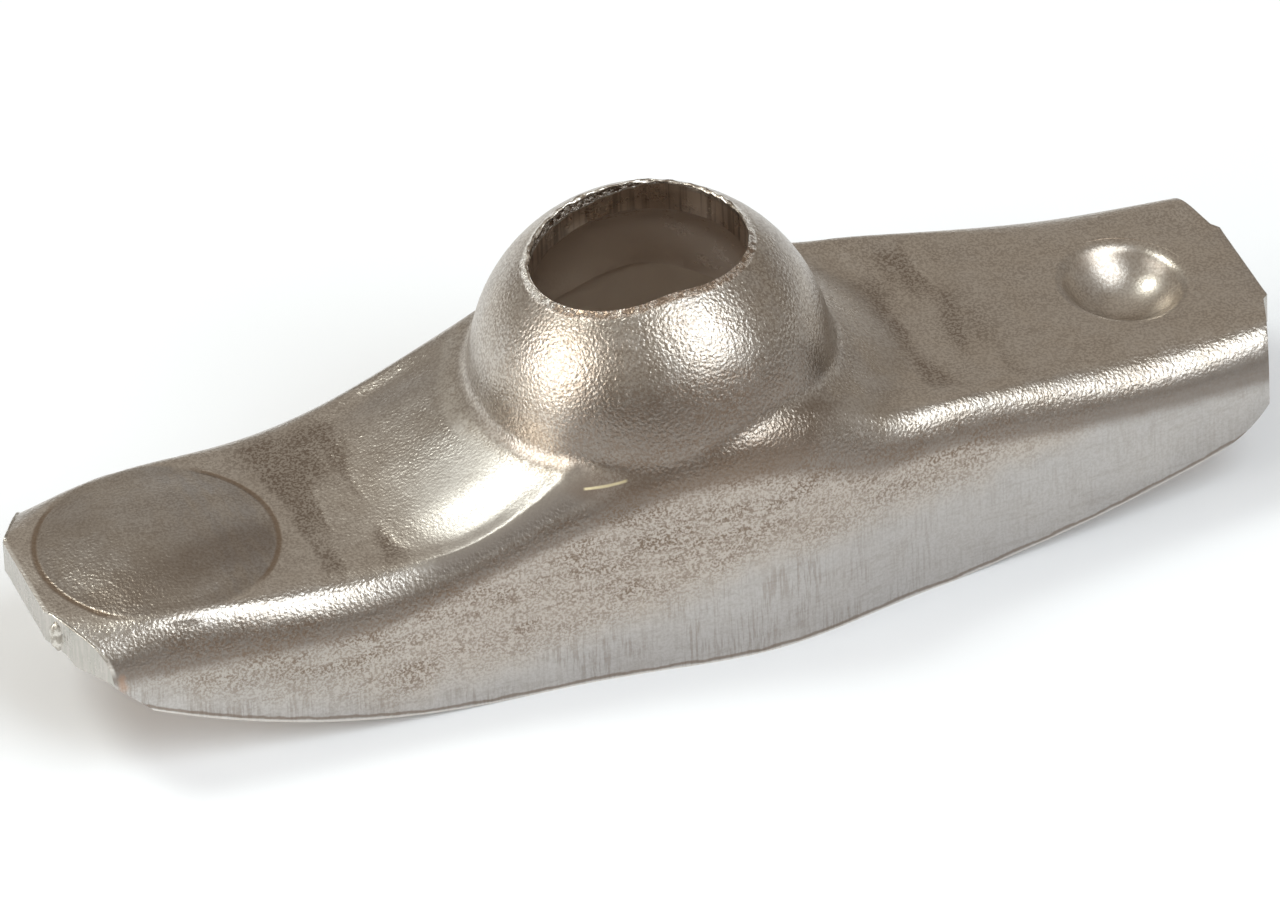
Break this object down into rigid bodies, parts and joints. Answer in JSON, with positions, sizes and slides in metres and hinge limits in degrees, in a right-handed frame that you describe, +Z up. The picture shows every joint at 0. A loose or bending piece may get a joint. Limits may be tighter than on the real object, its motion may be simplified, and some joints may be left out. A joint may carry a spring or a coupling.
{
  "type": "rocker arm",
  "caption": "Stamped ball-pivot rocker arm: domed seat with a stud slot between a valve pad and a pushrod socket, with turned-down side flanges.",
  "frame": {"origin": "on the pivot stud's axis, in the plane the flange rims stand on", "axes": "+X along the arm towards the pushrod socket, +Z up through the dome, +Y across the arm"},
  "size_m": [0.0542, 0.0164, 0.0163],
  "materials": {
    "formed_steel": "tumbled grey-brown sheet steel"
  },
  "bodies": {
    "root": {"rocker_arm": "formed_steel"}
  },
  "joints": []
}
